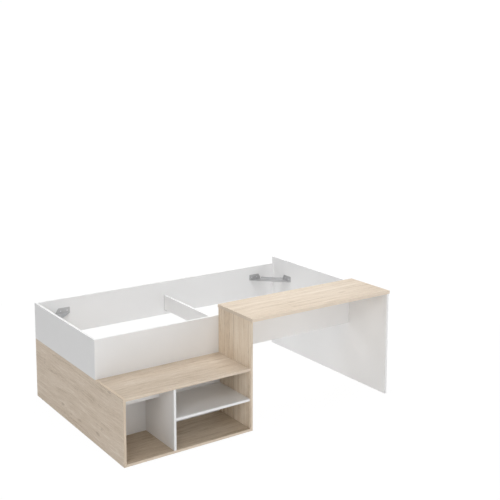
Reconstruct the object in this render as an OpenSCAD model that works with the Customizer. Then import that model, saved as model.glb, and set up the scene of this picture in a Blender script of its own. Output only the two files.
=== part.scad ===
// Cabin bed with a desk and a low open cabinet under its front rail.
// The boards meet in butt joints, each held by dowels, connecting bolts and cam nuts.
// X runs along the bed, Y from the desk's front to the back rail, Z up from the floor.

/* [Bed well] */
// Length of the mattress
mattress_l = 2000; // [1660:10:2400]
// Width of the mattress
mattress_w = 900; // [750:10:1400]
// Free length in the well beside the mattress
length_ease = 8; // [2:1:30]
// Free width in the well beside the mattress
width_ease = 16; // [2:1:30]
// Height of the two long rails
rail_h = 252; // [210:1:320]
// Depth of the slatted base's seat below the top of the rails
seat_drop = 106; // [90:1:120]

/* [Boards] */
// Thickness of the carcass boards
board_t = 16; // [15:1:22]
// Thickness of the desk top
desk_t = 22; // [16:1:38]
// Thickness of the edge bands glued on the boards
band_t = 1; // [0.8:0.1:2]
// Width of the chamfer on the edge bands' two arrises
band_chamfer = 0.5; // [0.1:0.1:0.8]

/* [Cabinet] */
// Height of the cabinet's top face, on which the front rail stands
cabinet_h = 414; // [340:1:520]
// Depth from the cabinet's front to the rail's front face
cabinet_d = 372; // [300:1:460]
// Width between the left side and the tall side panel
cabinet_inner_w = 876; // [760:1:1000]
// Width of the left bay, the one without a shelf
left_bay_w = 318; // [250:1:400]
// Height of the shelf's underside above the floor
shelf_z = 197; // [120:1:300]
// Distance of the shelf's front edge behind the cabinet's front
shelf_setback = 8; // [0:1:40]
// Height of the stiffener that hangs under the top of the left bay
stiffener_h = 102; // [80:1:140]

/* [Desk] */
// Height of the desk's surface
desk_h = 742; // [735:1:820]
// Overhang of the desk top past its two legs and in front of them
desk_overhang = 5; // [0:1:30]
// Distance of the right end panel's front edge before the cabinet's front
end_forward = 20; // [0:1:60]

/* [Slat seat] */
// Distance from a well corner to the bracket's inner edge, along each wall
bracket_inner = 130; // [100:1:150]
// Distance from a well corner to the bracket's outer edge, along each wall
bracket_outer = 235; // [215:1:290]
// Thickness of the pressed steel sheet
sheet_t = 2; // [1.5:0.1:3]
// Inner radius of the brackets' bends
bend_r = 2; // [1:0.5:3]
// Height of the bracket's wall tabs above its plate
tab_h = 42; // [36:1:60]
// Height of the stiffening rib along the bracket's inner edge
rib_h = 14; // [6:1:18]
// Diameter of the hole for the slatted base's screw
slat_hole_d = 8; // [5:0.5:10]
// Height of the cross member between the rails
cross_h = 110; // [80:1:140]

/* [Joinery] */
// Diameter of the wooden dowels
dowel_d = 8; // [6:1:8]
// Length of the wooden dowels
dowel_l = 30; // [25:1:35]
// Diameter of the cam nuts
cam_d = 15; // [12:1:15]
// Distance from a board's end to the centre of its cam nuts
cam_setback = 34; // [28:1:41]
// Distance from a joint's end to its first cam nut
cam_inset = 50; // [40:1:60]
// Distance from a cam nut to the dowel beside it
dowel_step = 32; // [24:1:40]

/* [Hidden] */
$fn = 48;

LEFT = [-1, 0, 0];
RIGHT = [1, 0, 0];
FRONT = [0, -1, 0];
BACK = [0, 1, 0];
DOWN = [0, 0, -1];
UP = [0, 0, 1];

// Colours
oak = [0.86, 0.78, 0.68];
oak_band = [0.80, 0.71, 0.60];
white = [0.94, 0.94, 0.93];
white_band = [0.97, 0.97, 0.96];
grey_steel = [0.45, 0.46, 0.47];
zinc = [0.70, 0.71, 0.72];
beech = [0.82, 0.66, 0.46];

// Bed well and the faces around it
well_l = mattress_l + length_ease;
well_w = mattress_w + width_ease;
right_x = board_t + well_l;
well_front = cabinet_d + board_t;
well_back = well_front + well_w;
bed_back = well_back + board_t;
rail_z = cabinet_h;
rail_top = rail_z + rail_h;
seat_z = rail_top - seat_drop;

// Cabinet
tall_x = board_t + cabinet_inner_w;
bench_z = cabinet_h - board_t;
divider_x = board_t + left_bay_w;
right_bay_x = divider_x + board_t;
right_bay_w = tall_x - right_bay_x;
inner_d = cabinet_d - board_t;
shelf_gap = 1;
band_trim = 0.05;
stiffener_y = inner_d / 2;

// Desk
leg_h = desk_h - desk_t;
desk_x = tall_x - desk_overhang;
desk_y = -end_forward - desk_overhang;

// Slat seat: the brackets are pressed from sheet, and two screws hold each of their tabs
bend_out = bend_r + sheet_t;
fold_w = bend_out + 1;
tab_l = bracket_outer - bracket_inner;
tab_screw_u = [36, 84];
tab_screw_z = 20;
tab_chamfer = 18;
tab_corner = 3;
rib_relief = bend_out + 1;

// The hangers are folded from a thicker strip, sharp inside, so that the cross member fits
hanger_t = 3;
hanger_lip = 34;
cross_x = board_t + (well_l - board_t) / 2;

// Small fixings and their clearances
dowel_in_face = 10;
dowel_fit = 0.1;
hole_spare = 0.5;
bolt_thread_d = 5;
bolt_thread_l = 11;
bolt_shank_d = 7;
bolt_bore_d = 8;
bolt_neck_d = 4;
bolt_head_d = 6.6;
cam_fit = 0.2;
cam_floor = 3;
cam_hole_l = board_t - cam_floor;
cam_l = cam_hole_l - hole_spare;
cap_t = 1;
cap_d = cam_d + 2;
cap_peg_d = 3;
cap_peg_l = 1.6;
confirmat_l = 50;
confirmat_d = 7;
confirmat_core_d = 6;
confirmat_head_d = 10;
confirmat_head_l = 4;
confirmat_inset = 56;
confirmat_fit = 0.2;
screw_d = 3.5;
screw_l = 13;
screw_tip = 2;
screw_fit = 0.7;
pan_head_d = 8;
pan_head_l = 2.4;
pan_head_dome = 1.4;
sunk_head_d = 7;
sunk_head_l = 1.8;
recess_arm = 3.8;
recess_slot = 0.9;
recess_depth = 1.2;
pin_d = 5;
pin_l = 8;
pin_tongue = [8, 7, 2];
pin_web = [3, 2];
pin_collar = 0.4;
pin_rise = 0.5;
pin_inset = 40;
past = 1;

// The origin is at the bottom centre of the whole bed, caps on the back rail included
origin = [(right_x + board_t + desk_overhang) / 2, (desk_y + bed_back + cap_t) / 2, 0];

// Boards: name, low corner, size, and the edges that carry a band.
// A band listed earlier runs past the ends of those listed after it.
BOARDS = [
    ["left_side_lower", [0, 0, 0], [board_t, bed_back, cabinet_h], [UP, FRONT, BACK]],
    ["left_side_upper", [0, cabinet_d, rail_z], [board_t, bed_back - cabinet_d, rail_h],
        [UP, FRONT, BACK]],
    ["right_end_panel", [right_x, -end_forward, 0], [board_t, bed_back + end_forward, leg_h],
        [UP, FRONT, BACK]],
    ["tall_side_panel", [tall_x, 0, 0], [board_t, cabinet_d, leg_h], [FRONT, BACK]],
    ["front_rail", [board_t, cabinet_d, rail_z], [well_l, board_t, rail_h], [UP, DOWN]],
    ["back_rail", [board_t, well_back, rail_z], [well_l, board_t, rail_h], [UP, DOWN]],
    ["bench_top", [board_t, 0, bench_z], [cabinet_inner_w, well_front, board_t],
        [FRONT, BACK]],
    ["cabinet_bottom", [board_t, 0, 0], [cabinet_inner_w, inner_d, board_t], [FRONT]],
    ["cabinet_divider", [divider_x, 0, board_t], [board_t, inner_d, bench_z - board_t],
        [FRONT]],
    ["cabinet_shelf", [right_bay_x + shelf_gap, shelf_setback, shelf_z],
        [right_bay_w - 2 * shelf_gap, inner_d - shelf_setback - shelf_gap, board_t], [FRONT]],
    ["cabinet_back", [board_t, inner_d, 0], [cabinet_inner_w, board_t, bench_z], []],
    ["cabinet_stiffener", [board_t, stiffener_y, bench_z - stiffener_h],
        [left_bay_w, board_t, stiffener_h], [DOWN]],
    ["desk_top", [desk_x, desk_y, leg_h],
        [right_x + board_t + desk_overhang - desk_x, cabinet_d - desk_y, desk_t],
        [FRONT, BACK, LEFT, RIGHT]],
    ["cross_member", [cross_x, well_front + hanger_t, seat_z - cross_h],
        [board_t, well_w - 2 * hanger_t, cross_h], [UP, DOWN]],
];
OAK_BOARDS = ["left_side_lower", "tall_side_panel", "bench_top", "cabinet_bottom", "desk_top"];
WHITE_BOARDS = ["left_side_upper", "right_end_panel", "front_rail", "back_rail",
    "cabinet_divider", "cabinet_shelf", "cabinet_stiffener", "cross_member"];

// Joints: the board drilled in its face, the board whose end meets it, the middle of the
// joint at its start, the way into the second board, the way its cam nuts open, the way
// along the joint, then the distances of the cam nuts and of the dowels along it.
half_t = board_t / 2;
function ends(length, inset = cam_inset) = [inset, length - inset];
function inner(length) = ends(length, cam_inset + dowel_step);
function thirds(length) = [length / 6, length / 2, length * 5 / 6];
desk_cams = [cam_inset + 40, cabinet_d - cam_inset];
desk_dowels = [desk_cams[0] + dowel_step, desk_cams[1] - dowel_step];
side_l = bed_back - cabinet_d;
JOINTS = [
    ["left_side_lower", "bench_top", [board_t, 0, bench_z + half_t], RIGHT, DOWN, BACK,
        ends(cabinet_d), inner(cabinet_d)],
    ["tall_side_panel", "bench_top", [tall_x, 0, bench_z + half_t], LEFT, DOWN, BACK,
        ends(cabinet_d), inner(cabinet_d)],
    ["left_side_lower", "cabinet_bottom", [board_t, 0, half_t], RIGHT, DOWN, BACK,
        ends(inner_d), inner(inner_d)],
    ["tall_side_panel", "cabinet_bottom", [tall_x, 0, half_t], LEFT, DOWN, BACK,
        ends(inner_d), inner(inner_d)],
    ["left_side_lower", "cabinet_back", [board_t, inner_d + half_t, 0], RIGHT, BACK, UP,
        ends(bench_z), inner(bench_z)],
    ["tall_side_panel", "cabinet_back", [tall_x, inner_d + half_t, 0], LEFT, BACK, UP,
        ends(bench_z), inner(bench_z)],
    ["bench_top", "cabinet_divider", [divider_x + half_t, 0, bench_z], DOWN, RIGHT, BACK,
        ends(inner_d), inner(inner_d)],
    ["cabinet_bottom", "cabinet_divider", [divider_x + half_t, 0, board_t], UP, RIGHT, BACK,
        ends(inner_d), inner(inner_d)],
    ["left_side_lower", "cabinet_stiffener",
        [board_t, stiffener_y + half_t, bench_z - stiffener_h], RIGHT, BACK, UP,
        [stiffener_h / 2], ends(stiffener_h, stiffener_h / 2 - dowel_step)],
    ["cabinet_divider", "cabinet_stiffener",
        [divider_x, stiffener_y + half_t, bench_z - stiffener_h], LEFT, BACK, UP,
        [stiffener_h / 2], ends(stiffener_h, stiffener_h / 2 - dowel_step)],
    ["bench_top", "cabinet_back", [board_t, inner_d + half_t, bench_z], DOWN, BACK, RIGHT,
        [], thirds(cabinet_inner_w)],
    ["cabinet_back", "cabinet_divider", [divider_x + half_t, inner_d, board_t], FRONT, RIGHT,
        UP, [], inner(bench_z - board_t)],
    ["cabinet_back", "cabinet_bottom", [board_t, inner_d, half_t], FRONT, DOWN, RIGHT,
        [], thirds(cabinet_inner_w)],
    ["bench_top", "front_rail", [board_t, cabinet_d + half_t, rail_z], UP, BACK, RIGHT,
        [], thirds(cabinet_inner_w)],
    ["left_side_upper", "front_rail", [board_t, cabinet_d + half_t, rail_z], RIGHT, BACK, UP,
        ends(rail_h), inner(rail_h)],
    ["right_end_panel", "front_rail", [right_x, cabinet_d + half_t, rail_z], LEFT, BACK, UP,
        ends(rail_h), inner(rail_h)],
    ["left_side_upper", "back_rail", [board_t, well_back + half_t, rail_z], RIGHT, BACK, UP,
        ends(rail_h), inner(rail_h)],
    ["right_end_panel", "back_rail", [right_x, well_back + half_t, rail_z], LEFT, BACK, UP,
        ends(rail_h), inner(rail_h)],
    ["left_side_lower", "left_side_upper", [half_t, cabinet_d, rail_z], UP, RIGHT, BACK,
        thirds(side_l), [cam_inset, side_l / 3, side_l * 2 / 3, side_l - cam_inset]],
    ["desk_top", "tall_side_panel", [tall_x + half_t, 0, leg_h], DOWN, RIGHT, BACK,
        desk_cams, desk_dowels],
    ["desk_top", "right_end_panel", [right_x + half_t, 0, leg_h], DOWN, LEFT, BACK,
        desk_cams, desk_dowels],
];
function edge_board(joint) = joint[1];

// Well corners: name, place, and which of the bracket's sides is turned about
CORNERS = [
    ["front_left", [board_t, well_front], [0, 0]],
    ["front_right", [right_x, well_front], [1, 0]],
    ["back_left", [board_t, well_back], [0, 1]],
    ["back_right", [right_x, well_back], [1, 1]],
];

module placed() {
    translate(-origin) children();
}

function row(table, name) = [for (r = table) if (r[0] == name) r][0];
function along_axis(v, way) = abs(way * v);

// Puts children at a point, their Z along one way and their X along another
module at(point, z_way, x_way) {
    y_way = cross(z_way, x_way);
    multmatrix([
        [x_way[0], y_way[0], z_way[0], point[0]],
        [x_way[1], y_way[1], z_way[1], point[1]],
        [x_way[2], y_way[2], z_way[2], point[2]],
        [0, 0, 0, 1]])
        children();
}

module rod(d, from, to) {
    translate([0, 0, from]) cylinder(d = d, h = to - from);
}

// ---- Boards -------------------------------------------------------------------------

// The chipboard core of a board: its full size less the bands on its edges
module core(b) {
    low = [for (i = [0:2]) len([for (way = b[3]) if (way[i] < 0) 1]) * band_t];
    high = [for (i = [0:2]) len([for (way = b[3]) if (way[i] > 0) 1]) * band_t];
    translate(b[1] + low) cube(b[2] - low - high);
}

// One edge band, on side number k of a board's list; its outer arrises are chamfered
module band(b, k) {
    out = b[3][k];
    before = [for (i = [0:1:k - 1]) b[3][i]];
    slim = min(b[2]);
    thin = [for (i = [0:2]) b[2][i] == slim ? 1 : 0];
    run = [for (i = [0:2]) 1 - abs(out[i]) - thin[i]];
    cut_start = len([for (way = before) if (way * run < 0) 1]) * band_t + band_trim;
    cut_end = len([for (way = before) if (way * run > 0) 1]) * band_t + band_trim;
    half_w = slim / 2 - band_trim;
    middle = b[1] + b[2] / 2;
    face = middle + out * (along_axis(b[2], out) / 2 - band_t);
    start = face - run * (b[2] * run / 2 - cut_start);
    at(start, run, out)
        linear_extrude(b[2] * run - cut_start - cut_end)
            polygon([[0, -half_w], [band_t - band_chamfer, -half_w],
                [band_t, -half_w + band_chamfer], [band_t, half_w - band_chamfer],
                [band_t - band_chamfer, half_w], [0, half_w]]);
}

module bands(names) {
    for (name = names) {
        b = row(BOARDS, name);
        difference() {
            union() for (k = [0:1:len(b[3]) - 1]) band(b, k);
            drillings(name);
        }
    }
}

module board(name) {
    difference() {
        core(row(BOARDS, name));
        drillings(name);
    }
}

// Every hole in one board
module drillings(name) {
    for (joint = JOINTS) {
        if (joint[0] == name) {
            at_cams(joint) rod(bolt_thread_d, -bolt_thread_l - hole_spare, past);
            at_dowels(joint) rod(dowel_d + dowel_fit, -dowel_in_face - hole_spare, past);
        }
        if (joint[1] == name) {
            at_cams(joint) cam_bore();
            at_dowels(joint)
                rod(dowel_d + dowel_fit, -past, dowel_l - dowel_in_face + hole_spare);
        }
    }
    if (name == "front_rail") at_confirmats() confirmat_rail_bore();
    if (name == "tall_side_panel") {
        at_confirmats() rod(confirmat_core_d, -confirmat_l - hole_spare, -board_t + past);
        at_shelf_pins(-1) rod(pin_d, -pin_l - hole_spare, past);
    }
    if (name == "cabinet_divider") at_shelf_pins(1) rod(pin_d, -pin_l - hole_spare, past);
    if (name == "left_side_upper") at_bracket_screws(LEFT) pilot(sheet_t);
    if (name == "right_end_panel") at_bracket_screws(RIGHT) pilot(sheet_t);
    if (name == "front_rail") at_bracket_screws(FRONT) pilot(sheet_t);
    if (name == "back_rail") at_bracket_screws(BACK) pilot(sheet_t);
    if (name == "front_rail") at_hanger_screws(FRONT) pilot(hanger_t);
    if (name == "back_rail") at_hanger_screws(BACK) pilot(hanger_t);
    if (name == "cross_member") at_lip_screws() pilot(hanger_t);
}

module left_side_lower() {
    color(oak) placed() board("left_side_lower");
}

module left_side_upper() {
    color(white) placed() board("left_side_upper");
}

module right_end_panel() {
    color(white) placed() board("right_end_panel");
}

module tall_side_panel() {
    color(oak) placed() board("tall_side_panel");
}

module front_rail() {
    color(white) placed() board("front_rail");
}

module back_rail() {
    color(white) placed() board("back_rail");
}

module bench_top() {
    color(oak) placed() board("bench_top");
}

module cabinet_bottom() {
    color(oak) placed() board("cabinet_bottom");
}

module cabinet_divider() {
    color(white) placed() board("cabinet_divider");
}

module cabinet_shelf() {
    color(white) placed() board("cabinet_shelf");
}

module cabinet_back() {
    color(white) placed() board("cabinet_back");
}

module cabinet_stiffener() {
    color(white) placed() board("cabinet_stiffener");
}

module desk_top() {
    color(oak) placed() board("desk_top");
}

module cross_member() {
    color(white) placed() board("cross_member");
}

module oak_edge_bands() {
    color(oak_band) placed() bands(OAK_BOARDS);
}

module white_edge_bands() {
    color(white_band) placed() bands(WHITE_BOARDS);
}

// ---- Dowels, connecting bolts and cam nuts ----------------------------------------------

// Joint frames: Z goes into the second board, X to the face in which its cam nuts lie
module at_cams(joint) {
    for (s = joint[6]) at(joint[2] + s * joint[5], joint[3], joint[4]) children();
}

module at_dowels(joint) {
    for (s = joint[7]) at(joint[2] + s * joint[5], joint[3], joint[4]) children();
}

// Bolt bore from the board's end, and the cam nut's hole from its face
module cam_bore() {
    rod(bolt_bore_d, -past, cam_setback);
    translate([half_t - cam_hole_l, 0, cam_setback]) rotate([0, 90, 0])
        rod(cam_d + cam_fit, 0, cam_hole_l + past);
}

// Dowel with chamfered ends
module dowel() {
    chamfer = 1;
    r = dowel_d / 2;
    end = dowel_l - dowel_in_face;
    rotate_extrude() polygon([[0, -dowel_in_face], [r - chamfer, -dowel_in_face],
        [r, chamfer - dowel_in_face], [r, end - chamfer], [r - chamfer, end], [0, end]]);
}

// Connecting bolt: screwed into one board's face, its head caught by the cam nut
module connecting_bolt() {
    tip = 1;
    cone = 1.5;
    head_cone = 1.3;
    head_l = 2;
    head_end = 1.2;
    neck = cam_setback - cam_d / 2;
    head = cam_setback - cone;
    r = [bolt_thread_d, bolt_shank_d, bolt_neck_d, bolt_head_d] / 2;
    rotate_extrude() polygon([[0, -bolt_thread_l], [r[0] - tip, -bolt_thread_l],
        [r[0], tip - bolt_thread_l], [r[0], 0], [r[1], 0], [r[1], neck - cone],
        [r[2], neck], [r[2], head - head_cone], [r[3], head], [r[3], head + head_l],
        [r[3] - head_end, head + head_l + head_end], [0, head + head_l + head_end]]);
}

// Cam nut, tightened: its drum has turned half round the bolt, so the slot lies over the
// bolt's neck and the entry for the bolt's head is on the far side. Its Z is its own axis,
// out of the board's face; the bolt comes in along X.
module cam_nut() {
    neck_spare = 0.6;
    head_spare = 1;
    pocket_spare = 2.4;
    slot_w = bolt_neck_d + neck_spare;
    entry_d = bolt_head_d + head_spare;
    pocket_d = bolt_head_d + pocket_spare;
    difference() {
        rod(cam_d, half_t - cam_l, half_t);
        rotate([0, -90, 0]) rod(entry_d, 0, cam_d);
        rod(pocket_d, -entry_d / 2, entry_d / 2);
        intersection() {
            rod(cam_d + 1, -slot_w / 2, slot_w / 2);
            translate([-cam_d, -slot_w / 2, -cam_d / 2]) cube([2 * cam_d, cam_d, cam_d]);
        }
        translate([0, 0, half_t]) cam_drive();
    }
}

// Cross-shaped recess for a screwdriver, down from Z = 0
module cross_recess(arm, slot, depth) {
    for (turn = [0, 90]) rotate(turn) translate([-arm / 2, -slot / 2, -depth])
        cube([arm, slot, depth + past]);
}

// The cam nut's recess also takes the cover cap's peg
module cam_drive() {
    depth = 2;
    peg_spare = 0.4;
    cross_recess(7, 1.6, depth);
    rod(cap_peg_d + peg_spare, -depth, past);
}

// Cover cap: a slightly domed disc with a peg for the drive recess
module cover_cap(d) {
    rim = cap_t / 2;
    slope = 1.5;
    rotate_extrude() polygon([[0, -cap_peg_l], [cap_peg_d / 2, -cap_peg_l],
        [cap_peg_d / 2, 0], [d / 2, 0], [d / 2, rim], [d / 2 - slope, cap_t], [0, cap_t]]);
}

module at_cam_nuts(joint) {
    at_cams(joint) translate([0, 0, cam_setback]) rotate([0, 90, 0]) children();
}

module wooden_dowels() {
    color(beech) placed() for (joint = JOINTS) at_dowels(joint) dowel();
}

module connecting_bolts() {
    color(zinc) placed() for (joint = JOINTS) at_cams(joint) connecting_bolt();
}

module cam_nuts() {
    color(zinc) placed() for (joint = JOINTS) at_cam_nuts(joint) cam_nut();
}

// The cam nuts that face the floor have no caps
module cam_caps() {
    color(white) placed() for (joint = JOINTS) if (edge_board(joint) != "cabinet_bottom")
        at_cam_nuts(joint) translate([0, 0, half_t]) cover_cap(cap_d);
}

// ---- Confirmat screws through the front rail into the tall side panel --------------------

module at_confirmats() {
    for (z = [rail_z + confirmat_inset, rail_top - confirmat_inset])
        at([tall_x + half_t, well_front, z], BACK, RIGHT) children();
}

module confirmat_rail_bore() {
    rod(confirmat_d + confirmat_fit, -board_t - past, past);
    translate([0, 0, -confirmat_head_l]) cylinder(d1 = confirmat_d + confirmat_fit,
        d2 = confirmat_head_d + confirmat_fit, h = confirmat_head_l);
}

module confirmat_screw() {
    hex_d = 4.6;
    hex_depth = 3;
    tip = [1.5, 3];
    sunk = 0.2;
    r = [confirmat_head_d, confirmat_d, confirmat_core_d] / 2;
    difference() {
        rotate_extrude() polygon([[0, -confirmat_l], [r[2] - tip[0], -confirmat_l],
            [r[2], tip[1] - confirmat_l], [r[2], -board_t], [r[1], -board_t],
            [r[1], -confirmat_head_l], [r[0], -sunk], [0, -sunk]]);
        translate([0, 0, -hex_depth]) cylinder(d = hex_d, h = hex_depth + past, $fn = 6);
    }
}

module confirmat_screws() {
    color(zinc) placed() at_confirmats() confirmat_screw();
}

module confirmat_caps() {
    color(white) placed() at_confirmats() cover_cap(confirmat_head_d + 3);
}

// ---- Shelf pins ------------------------------------------------------------------------

// Side -1 is the tall side panel's row, side 1 the divider's; Z points into the bay
module at_shelf_pins(side) {
    x = side > 0 ? right_bay_x : tall_x;
    ways = [shelf_setback + pin_inset, inner_d - pin_inset];
    for (y = ways) at([x, y, shelf_z - pin_d / 2 - pin_rise], [side, 0, 0], UP) children();
}

// Stud in the board, collar against its face, and a tongue on which the shelf lies
module shelf_pin() {
    rod(pin_d, -pin_l, 0);
    rod(pin_d + 2 * pin_collar, 0, shelf_gap);
    translate([pin_d / 2 + pin_rise - pin_tongue[2], -pin_tongue[1] / 2, 0])
        cube([pin_tongue[2], pin_tongue[1], pin_tongue[0]]);
    translate([-pin_web[0] / 2, -pin_web[1] / 2, 0])
        cube([pin_web[0], pin_web[1], pin_tongue[0] - pin_tongue[2]]);
}

module shelf_pins() {
    color(zinc) placed() for (side = [-1, 1]) at_shelf_pins(side) shelf_pin();
}

// ---- Corner brackets ---------------------------------------------------------------------

module at_corner(c) {
    translate([c[1][0], c[1][1], seat_z])
        mirror([c[2][0], 0, 0]) mirror([0, c[2][1], 0]) children();
}

// Section of a bend: X is the way out of the upright leg's outer face, Y the height above
// the level leg's top
module bend_section(leg_h) {
    translate([0, bend_r]) square([sheet_t, leg_h - bend_r]);
    translate([bend_out, -sheet_t]) square([fold_w - bend_out, sheet_t]);
    translate([bend_out, bend_r]) intersection() {
        difference() {
            circle(bend_out);
            circle(bend_r);
        }
        translate([-bend_out, -bend_out]) square(bend_out);
    }
}

// Wall tab with its bend: its end near the corner is cut back to the rib's height, and its
// level part follows the plate's outer edge
module wall_tab() {
    far = bracket_outer;
    intersection() {
        at([bracket_inner, 0, 0], RIGHT, BACK) linear_extrude(tab_l) bend_section(tab_h);
        translate([0, fold_w, 0]) rotate([90, 0, 0]) linear_extrude(fold_w)
            polygon([[bracket_inner, -sheet_t], [far, -sheet_t], [far, tab_h - tab_corner],
                [far - tab_corner, tab_h], [bracket_inner + tab_chamfer, tab_h],
                [bracket_inner, rib_h]]);
        translate([0, 0, -sheet_t]) linear_extrude(sheet_t + tab_h)
            polygon([[bracket_inner, 0], [far, 0], [far, sheet_t],
                [far + sheet_t - fold_w, fold_w], [bracket_inner, fold_w]]);
    }
}

// Upright rib along the plate's inner edge; it stops short of the tabs' bends
module bracket_rib() {
    along = [1, -1, 0] / sqrt(2);
    out = [1, 1, 0] / sqrt(2);
    at([rib_relief, bracket_inner - rib_relief, 0], along, out)
        linear_extrude((bracket_inner - 2 * rib_relief) * sqrt(2)) bend_section(rib_h);
}

// Screw places of one bracket: out of the wall along its X (turned 0) or its Y (turned 1)
module at_tab_screws(turned) {
    for (u = tab_screw_u)
        if (turned == 0)
            at([bracket_inner + u, sheet_t, tab_screw_z], BACK, RIGHT) children();
        else
            at([sheet_t, bracket_inner + u, tab_screw_z], RIGHT, BACK) children();
}

module corner_bracket(name) {
    near = bracket_inner + bend_out * (sqrt(2) - 1);
    far = bracket_outer - bend_out;
    middle = (bracket_inner + bracket_outer) / 4;
    color(grey_steel) placed() at_corner(row(CORNERS, name)) difference() {
        union() {
            translate([0, 0, -sheet_t]) linear_extrude(sheet_t)
                polygon([[near, bend_out], [far, bend_out], [bend_out, far],
                    [bend_out, near]]);
            bracket_rib();
            wall_tab();
            mirror([1, -1, 0]) wall_tab();
        }
        translate([middle, middle, 0]) rod(slat_hole_d, -sheet_t - past, past);
        for (turned = [0, 1]) at_tab_screws(turned) rod(screw_d + screw_fit, -sheet_t - past, past);
    }
}

module corner_bracket_front_left() {
    corner_bracket("front_left");
}

module corner_bracket_front_right() {
    corner_bracket("front_right");
}

module corner_bracket_back_left() {
    corner_bracket("back_left");
}

module corner_bracket_back_right() {
    corner_bracket("back_right");
}

// All bracket screws in one wall of the well; Z comes out of the wall, from the tab's face
module at_bracket_screws(wall) {
    turned = abs(wall[0]);
    for (c = CORNERS)
        if (wall * [c[2][0] * 2 - 1, c[2][1] * 2 - 1, 0] > 0)
            at_corner(c) at_tab_screws(turned) children();
}

// Hole in the board behind a steel piece of the given thickness
module pilot(steel) {
    rod(screw_d, -screw_l - hole_spare, -steel + past);
}

module pan_head_screw() {
    r = [pan_head_d, screw_d] / 2;
    side = pan_head_l - pan_head_dome;
    difference() {
        rotate_extrude() polygon([[0, -screw_l], [r[1], screw_tip - screw_l], [r[1], 0],
            [r[0], 0], [r[0], side], [r[0] - pan_head_dome, pan_head_l], [0, pan_head_l]]);
        translate([0, 0, pan_head_l]) cross_recess(recess_arm, recess_slot, recess_depth);
    }
}

module bracket_screws() {
    color(zinc) placed() for (wall = [FRONT, BACK, LEFT, RIGHT])
        at_bracket_screws(wall) pan_head_screw();
}

// ---- Cross member hangers ---------------------------------------------------------------

// Angle hangers: a wall plate behind the cross member's end, and a lip below it
module at_hanger(wall) {
    y = wall[1] < 0 ? well_front : well_back;
    at([cross_x + half_t, y, seat_z], wall * -1, UP) children();
}

// In a hanger's frame X is up and Z comes out of the rail
module at_hanger_screws(wall) {
    at_hanger(wall) for (drop = [cross_h / 4, cross_h * 3 / 4])
        translate([-drop, 0, hanger_t]) children();
}

module cross_hanger(wall) {
    color(grey_steel) placed() difference() {
        at_hanger(wall) union() {
            translate([-cross_h - hanger_t, -half_t, 0])
                cube([cross_h + hanger_t, board_t, hanger_t]);
            translate([-cross_h - hanger_t, -half_t, 0])
                cube([hanger_t, board_t, hanger_t + hanger_lip]);
        }
        at_hanger_screws(wall) {
            rod(screw_d + screw_fit, -hanger_t - past, past);
            translate([0, 0, -sunk_head_l]) cylinder(d1 = screw_d + screw_fit,
                d2 = sunk_head_d + hole_spare, h = sunk_head_l);
        }
        at_lip_screws() rod(screw_d + screw_fit, -hanger_t - past, past);
    }
}

// Screws up through the lips; Z points down, from the lip's underside
module at_lip_screws() {
    reach = hanger_t + hanger_lip * 0.6;
    for (y = [well_front + reach, well_back - reach])
        at([cross_x + half_t, y, seat_z - cross_h - hanger_t], DOWN, RIGHT) children();
}

module countersunk_screw() {
    sunk = 0.1;
    r = [sunk_head_d, screw_d] / 2;
    difference() {
        rotate_extrude() polygon([[0, -screw_l], [r[1], screw_tip - screw_l],
            [r[1], -sunk_head_l], [r[0], -sunk], [0, -sunk]]);
        cross_recess(recess_arm, recess_slot, recess_depth);
    }
}

module cross_hanger_front() {
    cross_hanger(FRONT);
}

module cross_hanger_back() {
    cross_hanger(BACK);
}

module hanger_screws() {
    color(zinc) placed() for (wall = [FRONT, BACK]) at_hanger_screws(wall) countersunk_screw();
}

module cross_member_screws() {
    color(zinc) placed() at_lip_screws() pan_head_screw();
}

left_side_lower();
left_side_upper();
right_end_panel();
tall_side_panel();
front_rail();
back_rail();
bench_top();
cabinet_bottom();
cabinet_divider();
cabinet_shelf();
cabinet_back();
cabinet_stiffener();
desk_top();
cross_member();
oak_edge_bands();
white_edge_bands();
corner_bracket_front_left();
corner_bracket_front_right();
corner_bracket_back_left();
corner_bracket_back_right();
cross_hanger_front();
cross_hanger_back();
wooden_dowels();
connecting_bolts();
cam_nuts();
cam_caps();
confirmat_screws();
confirmat_caps();
bracket_screws();
hanger_screws();
cross_member_screws();
shelf_pins();
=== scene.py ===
# %% [markdown]
# # A cabin bed with a desk and a low cabinet
# This bed is flat-pack furniture: melamine-faced chipboard boards, five with an oak look and
# nine white, and a few pressed steel fittings in the well where a slatted base will lie. The
# boards come from the construction model in their real size and place. So the work here is
# the finish of every surface, and then the floor, the light and the camera. The first step
# loads that model.

# %% The frame and its size
import math

import bpy
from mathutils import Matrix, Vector


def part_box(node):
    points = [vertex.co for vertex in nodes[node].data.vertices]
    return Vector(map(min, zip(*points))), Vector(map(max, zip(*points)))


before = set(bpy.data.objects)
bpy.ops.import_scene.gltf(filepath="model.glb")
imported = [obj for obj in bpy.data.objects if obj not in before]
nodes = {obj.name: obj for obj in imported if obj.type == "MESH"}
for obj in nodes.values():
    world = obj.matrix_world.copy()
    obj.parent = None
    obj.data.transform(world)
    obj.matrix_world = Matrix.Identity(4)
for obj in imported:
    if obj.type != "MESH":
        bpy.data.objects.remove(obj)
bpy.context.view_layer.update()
scene = bpy.context.scene


# %% [markdown]
# ## The camera
# The picture was taken with a long lens from the left, about six metres away and well above
# head height. Nearly all its upright edges stay parallel, which a camera gives when it looks
# level and its lens is shifted down. A shift that large would push the bed out of every
# other view, so this camera tilts down a little instead and keeps only a small shift.

# %% Camera
CAMERA_PLACE = (-3.2739, -5.1396, 2.4544)
CAMERA_YAW = 34.28      # degrees from +Y towards +X
CAMERA_PITCH = 8.114    # degrees below the horizon
CAMERA_LENS = 65.58     # millimetres, on the sensor below
CAMERA_SENSOR = 36      # millimetres wide
CAMERA_SHIFT = (0.02, -0.16)

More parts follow.
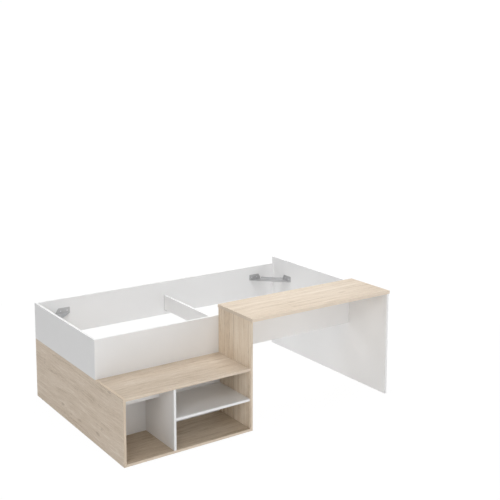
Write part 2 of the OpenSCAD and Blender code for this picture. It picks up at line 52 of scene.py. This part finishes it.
camera_data = bpy.data.cameras.new("camera")
camera_data.sensor_width = CAMERA_SENSOR
camera_data.lens = CAMERA_LENS
camera_data.shift_x, camera_data.shift_y = CAMERA_SHIFT
camera = bpy.data.objects.new("camera", camera_data)
camera.location = CAMERA_PLACE
camera.rotation_euler = (math.radians(90 - CAMERA_PITCH), 0, math.radians(-CAMERA_YAW))
scene.collection.objects.link(camera)
scene.camera = camera
print("camera:", CAMERA_LENS, "mm lens at", CAMERA_PLACE)

# %% [markdown]
# ## Colours are chosen as they look
# Picking a colour by eye gives display values from 0 to 255, and a shader wants linear light.
# One small function turns the first into the second, so each finish below can be written as
# the eye sees it. The view transform is the plain one, because a film-like curve would turn
# the white boards grey.

# %% Colour helpers
scene.view_settings.view_transform = "Standard"
WHITE = (1, 1, 1, 1)


def linear(red, green, blue):
    """A colour in display values, as the linear colour that a shader takes."""
    def one(value):
        value /= 255
        return value / 12.92 if value <= 0.04045 else ((value + 0.055) / 1.055) ** 2.4
    return (one(red), one(green), one(blue), 1)


def grey(shade):
    return linear(shade, shade, shade)


print("white board:", [round(part, 3) for part in grey(240)])

# %% [markdown]
# ## A small kit for shader nodes
# Every finish here is a tree of nodes, as the shader editor shows them.

# %% Nodes and links


class Tree:
    """A node tree that is built step by step."""

    def __init__(self, node_tree):
        self.nodes = node_tree.nodes
        self.links = node_tree.links

    def add(self, kind, **settings):
        node = self.nodes.new(kind)
        for key, value in settings.items():
            setattr(node, key, value)
        return node

    def feed(self, socket, value):
        if isinstance(value, bpy.types.NodeSocket):
            self.links.new(value, socket)
        else:
            socket.default_value = value


print("kit: nodes and links")

# %% [markdown]
# Arithmetic comes next, because wood grain is mostly sums of noise. Each step has a plain
# name and returns the socket with its result, so a formula reads from the inside out. The
# most useful one is spread: it turns one range of numbers softly into another.

# %% Arithmetic with sockets


class Arithmetic(Tree):
    """Steps that take sockets or numbers and return the socket with the result."""

    def math(self, operation, first, second=0.0):
        node = self.add("ShaderNodeMath", operation=operation)
        self.feed(node.inputs[0], first)
        self.feed(node.inputs[1], second)
        return node.outputs[0]

    def plus(self, first, second):
        return self.math("ADD", first, second)

    def minus(self, first, second):
        return self.math("SUBTRACT", first, second)

    def times(self, first, second):
        return self.math("MULTIPLY", first, second)

    def over(self, first, second):
        return self.math("DIVIDE", first, second)

    def larger(self, first, second):
        return self.math("MAXIMUM", first, second)

    def distance(self, first, second):
        return self.math("ABSOLUTE", self.minus(first, second))

    def above(self, value, limit):
        """1 where the value is above the limit, and 0 elsewhere."""
        return self.math("GREATER_THAN", value, limit)

    def below(self, value, limit):
        return self.math("LESS_THAN", value, limit)

    def spread(self, value, low, high, to_low=0.0, to_high=1.0, way="SMOOTHSTEP"):
        """Maps low..high to to_low..to_high, and holds the end values outside."""
        node = self.add("ShaderNodeMapRange", interpolation_type=way)
        for socket, number in zip(node.inputs, (value, low, high, to_low, to_high)):
            self.feed(socket, number)
        return node.outputs[0]


print("kit: arithmetic")

# %% [markdown]
# Last comes the recipe of one material. It reads each point's own place in metres, so a
# pattern has its real size on every board and needs no unwrapping. What differs over the
# surface arrives through links, and a value that is the same all over is set on the shader
# itself, because the exported model drops some values that arrive through a link.

# %% A material's recipe
MIX_FIRST, MIX_SECOND, MIX_RESULT = 6, 7, 2    # a Mix node's sockets for colours


class Recipe(Arithmetic):
    """A material under construction."""

    def __init__(self, name):
        self.material = bpy.data.materials.new(name)
        self.material.use_nodes = True
        super().__init__(self.material.node_tree)
        self.shader = self.nodes["Principled BSDF"]
        self.place = self.add("ShaderNodeTexCoord").outputs["Object"]

    def axes(self):
        node = self.add("ShaderNodeSeparateXYZ")
        self.feed(node.inputs[0], self.place)
        return list(node.outputs)

    def point(self, x, y, z):
        node = self.add("ShaderNodeCombineXYZ")
        for socket, value in zip(node.inputs, (x, y, z)):
            self.feed(socket, value)
        return node.outputs[0]

    def noise(self, point, scale=1.0, detail=2.0, roughness=0.5):
        """Soft noise from about 0 to 1; the scale is in waves per metre."""
        node = self.add("ShaderNodeTexNoise")
        self.feed(node.inputs["Vector"], point)
        for key, value in (("Scale", scale), ("Detail", detail), ("Roughness", roughness)):
            self.feed(node.inputs[key], value)
        return node.outputs[0]

    def mix(self, share, first, second):
        node = self.add("ShaderNodeMix", data_type="RGBA")
        self.feed(node.inputs["Factor"], share)
        self.feed(node.inputs[MIX_FIRST], first)
        self.feed(node.inputs[MIX_SECOND], second)
        return node.outputs[MIX_RESULT]

    def bump(self, height, depth):
        """Dents and ridges of the given depth in metres, made by shading only."""
        node = self.add("ShaderNodeBump")
        self.feed(node.inputs["Height"], height)
        self.feed(node.inputs["Distance"], depth)
        self.feed(self.shader.inputs["Normal"], node.outputs[0])

    def surface(self, colour, roughness, **constants):
        """Feeds the shader and returns the finished material."""
        self.feed(self.shader.inputs["Base Color"], colour)
        self.feed(self.shader.inputs["Roughness"], roughness)
        for key, value in constants.items():
            self.shader.inputs[key.replace("_", " ")].default_value = value
        return self.material


def give(material, *names):
    """Puts this one material on each of the named pieces."""
    for name in names:
        nodes[name].data.materials.clear()
        nodes[name].data.materials.append(material)


print("kit: recipe")

# %% [markdown]
# ## The oak decor
# The oak is a printed paper under melamine, in the light rustic style: soft wide bands of
# tone, growth streaks a few millimetres wide, short dark flecks in some of them, a knot here
# and there, and the joint between two printed planks. It could be a picture laid on each
# board. Noise that is stretched along the grain was chosen instead, because it stays sharp
# at any distance and one recipe then serves all five boards. The tone of a point says where
# it lies between the deep, the plain and the pale colour.

# %% Oak colours
OAK_PALE = linear(236, 223, 207)
OAK_PLAIN = linear(219, 202, 182)
OAK_DEEP = linear(186, 166, 141)
OAK_FLECK = linear(150, 128, 103)
TONE_REACH = 0.8    # a tone this far from 0 is fully pale or fully deep


def tinted(colour, tint):
    return tuple(part * factor for part, factor in zip(colour, tint)) + (1,)


def oak_colour(recipe, tone, tint):
    pale, plain, deep = (tinted(colour, tint) for colour in (OAK_PALE, OAK_PLAIN, OAK_DEEP))
    colour = recipe.mix(recipe.spread(tone, 0.0, TONE_REACH), plain, pale)
    return recipe.mix(recipe.spread(tone, -TONE_REACH, 0.0, 1.0, 0.0), colour, deep)


print("oak: deep, plain and pale, with one colour for flecks")

# %% [markdown]
# A knot is where a branch grew through the board. It is more than a dark spot: the streaks
# part in front of it and close behind it. A painted spot would lie on top of straight grain.
# So before any streak is drawn, the place across the grain is bent away from each knot, by
# an amount that fades with distance. The same distance then darkens the knot's middle.

# %% Knots
KNOT_CORE = 2.2     # squared distance, in half sizes, at which the dark middle has faded
KNOT_FADE = 0.25    # how quickly the bend fades with the squared distance
KNOT_SHOVE = 0.7    # how far the grain is pushed, in the knot's half widths


def bend_round_knots(recipe, u, v, knots):
    """Returns v pushed away from the knots, and how dark the knots are here."""
    push, dark = 0.0, 0.0
    for knot_u, knot_v, half_long, half_wide in knots:
        along = recipe.over(recipe.minus(u, knot_u), half_long)
        across = recipe.over(recipe.minus(v, knot_v), half_wide)
        square = recipe.plus(recipe.times(along, along), recipe.times(across, across))
        near = recipe.over(1.0, recipe.plus(recipe.times(square, KNOT_FADE), 1.0))
        shove = recipe.times(recipe.times(near, across), KNOT_SHOVE * half_wide)
        push = recipe.plus(shove, push)
        dark = recipe.larger(recipe.spread(square, 0.0, KNOT_CORE, 1.0, 0.0), dark)
    return recipe.minus(v, push), dark


print("oak: knots bend the grain by up to", KNOT_SHOVE, "half widths at a time")

# %% [markdown]
# The decor shows solid planks glued side by side. At each joint the grain jumps to that of
# another tree, and a thin dark line shows. A step function at the joint does the first: it
# moves the noise to another depth, where it looks quite different.

# %% Plank joints
JOINT_LINE = (0.0006, 0.0022)    # metres from the joint: fully dark, and no longer dark


def plank_steps(recipe, v, planks):
    """A number that jumps at each plank joint, and the thin dark line of the joints."""
    jump, line = 0.0, 0.0
    for edge in planks:
        jump = recipe.plus(recipe.above(v, edge), jump)
        stroke = recipe.spread(recipe.distance(v, edge), *JOINT_LINE, 1.0, 0.0)
        line = recipe.larger(stroke, line)
    return jump, line


print("oak: joint line", round(JOINT_LINE[1] * 2000, 1), "mm wide")

# %% [markdown]
# Some streaks are so strong that the eye looks for them in one place, such as the pale band
# along the desk. Noise can't be told where to go, so these are drawn one by one. Each is a
# soft line that wanders with the grain and fades out at its two ends.

# %% Single streaks
STREAK_WANDER = 0.03    # metres across the grain
STREAK_END = 0.08       # metres over which a streak fades out
STREAK_CORE = 0.3       # the share of its half width that has full strength


def single_streaks(recipe, u, v, wander, streaks):
    """The sum of the streaks: each is (place across, half width, strength, from, to)."""
    total = 0.0
    bent = recipe.plus(v, recipe.times(recipe.minus(wander, 0.5), STREAK_WANDER))
    for middle, half_wide, strength, first, last in streaks:
        off = recipe.distance(bent, middle)
        body = recipe.spread(off, half_wide * STREAK_CORE, half_wide, strength, 0.0)
        inside = recipe.times(recipe.spread(u, first, first + STREAK_END),
                              recipe.spread(u, last - STREAK_END, last, 1.0, 0.0))
        total = recipe.plus(recipe.times(body, inside), total)
    return total


print("oak: streaks fade over", round(STREAK_END * 1000), "mm")

# %% [markdown]
# The grain itself is four layers of noise, from wide to fine. Each has a scale along the
# grain and a much larger one across it, in waves per metre, which stretches the noise into
# fibres. One noise with much detail would be quicker, but its wide and fine parts couldn't
# be told apart, and each board needs another balance of them.

# %% Layers of grain
GRAIN_LAYERS = (
    # scale along and across, detail, weight
    ((1.0, 9.0), 2.0, 0.6),       # soft bands about 110 mm wide
    ((2.2, 40.0), 3.0, 1.1),      # growth bands of 25 mm
    ((6.5, 125.0), 3.0, 1.7),     # streaks of 8 mm
    ((26.0, 400.0), 2.0, 1.2),    # fibres of 2.5 mm
)
LAYER_ROUGHNESS = 0.6


def stretched(recipe, place, scales, detail, roughness=0.5):
    """Noise at a place (along, across, depth) with its own scale in each direction."""
    along, across, depth = place
    point = recipe.point(recipe.times(along, scales[0]), recipe.times(across, scales[1]), depth)
    return recipe.noise(point, detail=detail, roughness=roughness)


def grain_tone(recipe, place, start, strengths):
    """The tone that the layers add up to, and each layer's noise around 0."""
    tone, layers = start, []
    for (scales, detail, weight), strength in zip(GRAIN_LAYERS, strengths):
        layer = recipe.minus(stretched(recipe, place, scales, detail, LAYER_ROUGHNESS), 0.5)
        tone = recipe.plus(recipe.times(layer, weight * strength), tone)
        layers.append(layer)
    return tone, layers


print("oak:", len(GRAIN_LAYERS), "layers of grain")

# %% [markdown]
# Two finer things lie on the grain. Flecks are short dark dashes, and they show only in the
# darker bands, so the bands' tone is their mask. Pores are the tiny open vessels of oak.
# They are everywhere, and the press plate dents the melamine at them, so they go into the
# bump too.

# %% Flecks and pores
FLECK_SCALES = (26, 260)
FLECK_START = (0.54, 0.66)    # noise at which a fleck begins, and is full
FLECK_ZONE = (0.08, -0.30)    # tone of the bands with no flecks, and with all of them
PORE_SCALES = (70, 1300)
PORE_START = (0.58, 0.70)


def fleck_mask(recipe, place, bands):
    dashes = stretched(recipe, place, FLECK_SCALES, detail=2.0, roughness=0.55)
    return recipe.times(recipe.spread(dashes, *FLECK_START), recipe.spread(bands, *FLECK_ZONE))


def pore_mask(recipe, place):
    return recipe.spread(stretched(recipe, place, PORE_SCALES, detail=1.0), *PORE_START)


print("oak: pores", round(1000 / PORE_SCALES[1], 1), "mm apart")

# %% [markdown]
# The recipe puts these together. First the place is bent by a slow wander and by the knots.
# Then the layers and the single streaks give the tone, and the tone gives the colour. The
# dark marks are laid over it last, each with its own strength. The finest layer also drives
# the bump and the roughness, so the ridges of the embossed melamine are a little duller
# than its hollows.

# %% Oak recipe
PLANK_STEP = 5.3              # how far the noise moves from one plank to the next
WANDER_SCALES = (1.3, 3.5)
WANDER_WIDTH = 0.06           # metres across the grain
PORE_DARK, KNOT_DARK, JOINT_DARK = 0.25, 0.34, 0.6
PORE_DENT = 0.6               # a pore's depth, compared with the finest layer
GRAIN_DEPTH = 0.00015         # metres
FINEST_RANGE = (-0.2, 0.2)    # nearly all values of the finest layer lie between these
OAK_ROUGHNESS = (0.44, 0.56)


def oak(name, along, across, seed, planks=(), knots=(), streaks=(), plank_tone=0.0,
        tone=0.0, tint=(1.0, 1.0, 1.0), flecks=0.5, grain=(1.0, 1.0, 1.0, 1.0)):
    """Oak decor; planks, knots and streaks are in metres along and across the grain."""
    recipe = Recipe(name)
    axis = recipe.axes()
    u, straight = axis[along], axis[across]
    jump, joint_line = plank_steps(recipe, straight, planks)
    depth = recipe.plus(recipe.times(jump, PLANK_STEP), seed)
    wander = stretched(recipe, (u, straight, depth), WANDER_SCALES, detail=1.0)
    bent, knot_dark = bend_round_knots(recipe, u, straight, knots)
    place = (u, recipe.plus(bent, recipe.times(wander, WANDER_WIDTH)), depth)

    start = recipe.plus(recipe.times(jump, plank_tone), tone)
    grown, layers = grain_tone(recipe, place, start, grain)
    streak = single_streaks(recipe, u, straight, wander, streaks)
    colour = oak_colour(recipe, recipe.plus(streak, grown), tint)

    bands = recipe.plus(recipe.plus(layers[1], layers[0]), streak)
    pores = pore_mask(recipe, place)
    marks = ((fleck_mask(recipe, place, bands), flecks), (pores, PORE_DARK),
             (knot_dark, KNOT_DARK), (joint_line, JOINT_DARK))
    for mask, strength in marks:
        colour = recipe.mix(recipe.times(mask, strength), colour, OAK_FLECK)

    finest = layers[-1]
    recipe.bump(recipe.minus(finest, recipe.times(pores, PORE_DENT)), depth=GRAIN_DEPTH)
    roughness = recipe.spread(finest, *FINEST_RANGE, *OAK_ROUGHNESS)
    return recipe.surface(colour, roughness, Specular_IOR_Level=0.3)


print("oak recipe: roughness", OAK_ROUGHNESS[0], "to", OAK_ROUGHNESS[1])

# %% [markdown]
# Each board is cut from another part of the decor, so each has its own seed, and its grain
# runs along its length: upright on the tall side, level on the others. A knot is written as
# (along, across, half length, half width). The tint is painted light and shade that makes up
# for the lamps: the boards that lie flat under them get a darker one, which is painted shade,
# and the upright ones a lighter one, which is painted light. The tall side's high tone is
# partly painted light as well.

# %% Oak boards
X_AXIS, Y_AXIS, Z_AXIS = 0, 1, 2
OAK_BOARDS = {
    "left_side_lower": dict(
        along=Y_AXIS, across=Z_AXIS, seed=2.0, tone=0.08, tint=(1.06, 1.06, 1.06),
        flecks=0.38, grain=(1.25, 1.1, 1.2, 1.2),
        knots=((-0.300, 0.078, 0.022, 0.010), (0.228, 0.090, 0.020, 0.009),
               (-0.354, 0.128, 0.012, 0.006), (-0.468, 0.400, 0.022, 0.006),
               (-0.036, 0.072, 0.024, 0.005)),
        streaks=((0.282, 0.050, -0.12, -0.7, 0.7),)),
    "tall_side_panel": dict(
        # the tall side's tone is partly painted light, like its tint
        along=Z_AXIS, across=Y_AXIS, seed=11.0, tone=0.42, tint=(1.17, 1.17, 1.145),
        flecks=0.4, grain=(1.2, 1.5, 1.1, 1.0), planks=(-0.453,), plank_tone=-0.15,
        streaks=((-0.290, 0.010, -0.35, -0.1, 0.9), (-0.343, 0.005, -0.35, -0.1, 0.9),
                 (-0.405, 0.005, -0.3, -0.1, 0.9), (-0.486, 0.011, 0.3, -0.1, 0.9),
                 (-0.571, 0.005, -0.3, -0.1, 0.9), (-0.619, 0.007, -0.4, -0.1, 0.9),
                 (-0.655, 0.010, -0.35, -0.1, 0.9))),
    "bench_top": dict(
        along=X_AXIS, across=Y_AXIS, seed=17.0, tone=-0.02, tint=(0.81, 0.81, 0.81),
        flecks=0.35, grain=(0.3, 0.95, 1.5, 1.2),
        knots=((-0.605, -0.581, 0.016, 0.006), (-0.268, -0.343, 0.020, 0.007)),
        streaks=((-0.451, 0.055, 0.18, -1.2, 0.0),)),
    "cabinet_bottom": dict(
        along=X_AXIS, across=Y_AXIS, seed=23.0, tint=(0.80, 0.785, 0.75),
        flecks=0.35, grain=(1.3, 1.6, 1.5, 1.2)),
    "desk_top": dict(
        along=X_AXIS, across=Y_AXIS, seed=31.0, tint=(0.895, 0.888, 0.864),
        flecks=0.35, grain=(0.9, 1.7, 1.1, 1.2),
        knots=((0.294, -0.511, 0.030, 0.007), (0.724, -0.516, 0.030, 0.007)),
        streaks=((-0.4025, 0.024, 0.40, -0.3, 1.2),)),
}
for name, choice in OAK_BOARDS.items():
    give(oak("oak_" + name, **choice), name)
print("oak boards:", ", ".join(OAK_BOARDS))

# %% [markdown]
# ## Oak edge bands
# Each visible edge has a thin printed band glued on, plainer than the board's face. All the
# oak bands are one piece here, and the print runs along each strip: upright on the
# cabinet's two sides and level everywhere else. Two materials would need faces to be chosen
# by hand, and the mesh has to stay as it came. So one material picks the way with a mask,
# which it makes from the strip's place.

# %% The way of each strip
BAND_ALONG, BAND_ACROSS = 6, 240    # waves per metre


def upright_mask(recipe, x, z):
    """1 on the bands of the cabinet's two sides, and 0 on all others."""
    left_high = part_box("left_side_lower")[1]
    tall_low, tall_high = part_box("tall_side_panel")
    left = recipe.below(x, left_high[0])
    tall = recipe.times(recipe.above(x, tall_low[0]), recipe.below(x, tall_high[0]))
    return recipe.times(recipe.plus(left, tall), recipe.below(z, tall_high[2]))


def strip_place(recipe, x, y, z):
    """The place along, across and beside the strip, scaled for its print."""
    upright = upright_mask(recipe, x, z)
    level = recipe.minus(1.0, upright)
    along = recipe.plus(recipe.times(z, upright), recipe.times(x, level))
    across = recipe.plus(recipe.times(x, upright), recipe.times(z, level))
    return recipe.point(recipe.times(along, BAND_ALONG), recipe.times(across, BAND_ACROSS),
                        recipe.times(y, BAND_ALONG))


print("oak band: streaks of", round(1000 / BAND_ACROSS), "mm")

# %% [markdown]
# The bands don't all show the same tone in the picture. The left side's is a little darker,
# and its top band carries painted shade on top of that. The desk's bands carry painted light.
# The light could be changed for them, but that would change the boards as well. So the
# streaks are shifted before they become a colour.

# %% Oak edge bands
BAND_DEEP = linear(208, 191, 170)
BAND_PALE = linear(230, 215, 197)
BAND_RANGE = (0.25, 0.75)    # streaks that are fully deep, and fully pale
SIDE_DARKER = 0.10
# painted shade on the top of the left side's band
SIDE_TOP_PAINTED_SHADE = 0.25
# painted light on the desk's bands
DESK_PAINTED_LIGHT = 0.26
TOP_ZONE = 0.0015            # metres below the left side's top that still count as its top


def shifted(recipe, streaks, x, z):
    """The streaks, darker on the cabinet's left side with painted shade on its top, and with
    painted light on the desk.
    """
    left_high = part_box("left_side_lower")[1]
    desk_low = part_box("desk_top")[0]
    # the left side's bands are darker, and on top they get painted shade
    top = recipe.above(z, left_high[2] - TOP_ZONE)
    darker = recipe.times(recipe.below(x, left_high[0]),
                          recipe.plus(recipe.times(top, SIDE_TOP_PAINTED_SHADE), SIDE_DARKER))
    # the desk's bands get painted light
    lighter = recipe.times(recipe.above(z, desk_low[2]), DESK_PAINTED_LIGHT)
    return recipe.plus(recipe.minus(streaks, darker), lighter)


def oak_band():
    recipe = Recipe("oak_band")
    x, y, z = recipe.axes()
    streaks = recipe.noise(strip_place(recipe, x, y, z), detail=4.0, roughness=0.6)
    streaks = shifted(recipe, streaks, x, z)
    colour = recipe.mix(recipe.spread(streaks, *BAND_RANGE), BAND_DEEP, BAND_PALE)
    recipe.bump(streaks, depth=0.00005)
    return recipe.surface(colour, 0.5, Specular_IOR_Level=0.35)


give(oak_band(), "oak_edge_bands")
print("oak edge bands finished")

# %% [markdown]
# ## White melamine
# White furniture board isn't a mirror: the press plate leaves a fine orange-peel texture
# that softens every reflection. It could be modelled as real dents, but they are no deeper
# than a hair is thick, so a small bump in the shading does as well. A slow drift of
# roughness and a trace of tone keep large boards from looking drawn. The edge bands are the
# same white, one step lighter and with less peel.

# %% White boards
NOISE_RANGE = (0.3, 0.7)    # nearly all values of a soft noise lie between these
WHITE_DRIFT = 0.02          # how far the roughness drifts either way
WHITE_BOARDS = ("left_side_upper", "right_end_panel", "front_rail", "back_rail",
                "cabinet_divider", "cabinet_shelf", "cabinet_back", "cabinet_stiffener",
                "cross_member")


def white(name, shade, roughness, peel):
    recipe = Recipe(name)
    fine = recipe.noise(recipe.place, scale=900)
    slow = recipe.noise(recipe.place, scale=7)
    colour = recipe.mix(recipe.spread(slow, *NOISE_RANGE), grey(shade), grey(shade + 1))
    recipe.bump(fine, depth=peel)
    rough = recipe.spread(slow, *NOISE_RANGE, roughness - WHITE_DRIFT, roughness + WHITE_DRIFT)
    return recipe.surface(colour, rough, Specular_IOR_Level=0.4)


give(white("white_melamine", 240, 0.45, peel=0.00006), *WHITE_BOARDS)
give(white("white_band", 241, 0.46, peel=0.00002), "white_edge_bands")
print("white boards:", len(WHITE_BOARDS))

# %% [markdown]
# ## Steel and zinc
# The corner brackets and hangers are pressed from galvanised sheet: grey, half dull and a
# little cloudy. Screws, bolts and pins are zinc plated and brighter, and the cam nuts are
# cast zinc and duller. The clouds are a soft noise that moves colour and roughness
# together. The metallic value stays below one, so part of the grey is the surface's own
# and doesn't depend on what the metal mirrors.

# %% Steel and zinc


def pressed_steel():
    recipe = Recipe("pressed_steel")
    grain = recipe.noise(recipe.place, scale=1400)
    cloud = recipe.noise(recipe.place, scale=30, detail=3.0)
    colour = recipe.mix(cloud, linear(189, 189, 190), linear(202, 202, 203))
    recipe.bump(grain, depth=0.000004)
    roughness = recipe.spread(cloud, *NOISE_RANGE, to_low=0.40, to_high=0.46)
    return recipe.surface(colour, roughness, Metallic=0.75)


def zinc(name, shade, roughness):
    """Zinc around a grey shade, with a slightly bluish cloud."""
    recipe = Recipe(name)
    cloud = recipe.noise(recipe.place, scale=220, detail=4.0)
    colour = recipe.mix(cloud, linear(shade - 14, shade - 12, shade - 8),
                        linear(shade + 6, shade + 7, shade + 10))
    rough = recipe.spread(cloud, *NOISE_RANGE, roughness - 0.04, roughness + 0.06)
    return recipe.surface(colour, rough, Metallic=0.6)


STEEL_PIECES = [name for name in nodes if name.startswith(("corner_bracket", "cross_hanger"))]
ZINC_PIECES = ("connecting_bolts", "confirmat_screws", "bracket_screws", "hanger_screws",
               "cross_member_screws", "shelf_pins")
give(pressed_steel(), *STEEL_PIECES)
give(zinc("zinc_plate", 240, 0.44), *ZINC_PIECES)
give(zinc("zinc_casting", 205, 0.50), "cam_nuts")
print("metal pieces:", len(STEEL_PIECES), "of steel,", len(ZINC_PIECES) + 1, "of zinc")

# %% [markdown]
# ## Plastic caps and beech dowels
# The caps that cover the cam nuts and screws are moulded, so their skin is finely matt. The
# dowels are raw beech, which is known by its short brown flecks. A narrow threshold on a
# fine noise makes those, and a dowel is too small to need grain as well.

# %% Plastic and beech


def moulded_plastic():
    recipe = Recipe("white_plastic")
    fine = recipe.noise(recipe.place, scale=1500, detail=1.0)
    recipe.bump(fine, depth=0.00003)
    colour = recipe.mix(fine, linear(238, 238, 236), linear(244, 244, 242))
    return recipe.surface(colour, 0.4)


def beech():
    recipe = Recipe("beech")
    flecks = recipe.noise(recipe.place, scale=700)
    colour = recipe.mix(recipe.spread(flecks, 0.5, 0.66),
                        linear(219, 184, 140), linear(170, 128, 88))
    return recipe.surface(colour, 0.6)


give(moulded_plastic(), "cam_caps", "confirmat_caps")
give(beech(), "wooden_dowels")
print("caps and dowels finished")

# %% [markdown]
# ## The floor
# The bed stands in a white studio: the floor is white right up to its feet, and no hard
# shadow falls anywhere. A floor that is only lit would turn grey further away and under the
# bed. So the camera sees mostly a white glow, with a little of the real shading mixed in
# close to the bed. The bed itself gets the light of a grey floor that also glows by itself,
# which keeps the boards near the floor from darkening.

# %% Floor
FLOOR_HALF = 40.0
FLOOR_BELOW = 0.0005        # metres under the bed, so that the two never flicker
FLOOR_GLOW = 0.60
SEEN_WHITE = 0.90           # share of the white glow that the camera sees near the bed
SHADE_ZONE = (1.4, 3.0)     # metres from the middle over which that share grows to 1
FULL_WHITE = 1.02           # just above white, so that no trace of grey is left


def white_floor():
    recipe = Recipe("floor_paint")
    recipe.surface(grey(160), 0.9, Specular_IOR_Level=0.0, Emission_Color=WHITE,
                   Emission_Strength=FLOOR_GLOW)
    glow = recipe.add("ShaderNodeEmission")
    recipe.feed(glow.inputs["Strength"], FULL_WHITE)
    length = recipe.add("ShaderNodeVectorMath", operation="LENGTH")
    recipe.feed(length.inputs[0], recipe.place)
    far = recipe.spread(length.outputs["Value"], *SHADE_ZONE, SEEN_WHITE, 1.0, way="LINEAR")
    seen = recipe.add("ShaderNodeLightPath").outputs["Is Camera Ray"]
    both = recipe.add("ShaderNodeMixShader")
    sources = (recipe.times(seen, far), recipe.shader.outputs[0], glow.outputs[0])
    for socket, value in zip(both.inputs, sources):
        recipe.feed(socket, value)
    recipe.feed(recipe.nodes["Material Output"].inputs["Surface"], both.outputs[0])
    return recipe.material


corners = [(x * FLOOR_HALF, y * FLOOR_HALF, 0) for x, y in ((-1, -1), (1, -1), (1, 1), (-1, 1))]
floor_mesh = bpy.data.meshes.new("floor")
floor_mesh.from_pydata(corners, [], [(0, 1, 2, 3)])
floor = bpy.data.objects.new("floor", floor_mesh)
floor.location.z = -FLOOR_BELOW
scene.collection.objects.link(floor)
floor.data.materials.append(white_floor())
print("floor:", 2 * FLOOR_HALF, "m square")

# %% [markdown]
# ## Studio light
# Behind the bed is the white wall of the studio. It could be a mesh that curves up from the
# floor, but that would stand in the way of a view from behind. A world colour is there on
# all sides. It is white to the camera and almost dark to the bed, because light from
# everywhere at once would wash out the corners.

# %% Surround
GLOW = 0.005


def surround():
    world = bpy.data.worlds.new("studio")
    world.use_nodes = True
    sky = Arithmetic(world.node_tree)
    background = sky.nodes["Background"]
    seen = sky.add("ShaderNodeLightPath").outputs["Is Camera Ray"]
    strength = sky.spread(seen, 0.0, 1.0, GLOW, FULL_WHITE, way="LINEAR")
    sky.feed(background.inputs["Strength"], strength)
    sky.feed(background.inputs["Color"], WHITE)
    return world


scene.world = surround()
print("surround: glow", GLOW)

# %% [markdown]
# The light itself comes from large soft boxes, so that shadows have no hard edge. They are
# square area lights here. One strong lamp above would leave the bed's sides dark, so eight
# stand round the bed and over it, and their powers were set one by one until each side had
# its brightness. The camera doesn't see them.

# %% Light panels
PANEL_SIZE = 3.0              # metres
PANEL_TARGET = (0, 0, 0.4)    # the middle of the bed
PANELS = {
    # place, power in watts
    "top": ((0.0, 0.0, 5.0), 156),
    "high_front": ((0.0, -3.5, 5.5), 29),
    "low_front": ((0.0, -6.0, 1.0), 58),
    "front_left": ((-4.0, -4.0, 3.5), 92),
    "front_right": ((4.0, -4.5, 2.0), 46),
    "top_back": ((0.0, 5.0, 3.5), 52),
    "back_left": ((-4.0, 4.0, 3.5), 50),
    "back_right": ((4.0, 4.0, 3.5), 100),
}


def panel(name, place, power):
    data = bpy.data.lights.new(name, "AREA")
    data.shape = "SQUARE"
    data.size = PANEL_SIZE
    data.energy = power
    light = bpy.data.objects.new(name, data)
    light.location = place
    way = Vector(PANEL_TARGET) - Vector(place)
    light.rotation_euler = way.to_track_quat("-Z", "Y").to_euler()
    light.visible_camera = False
    scene.collection.objects.link(light)


for name, (place, power) in PANELS.items():
    panel(name, place, power)
print("light:", len(PANELS), "panels,", sum(power for _, power in PANELS.values()), "W")
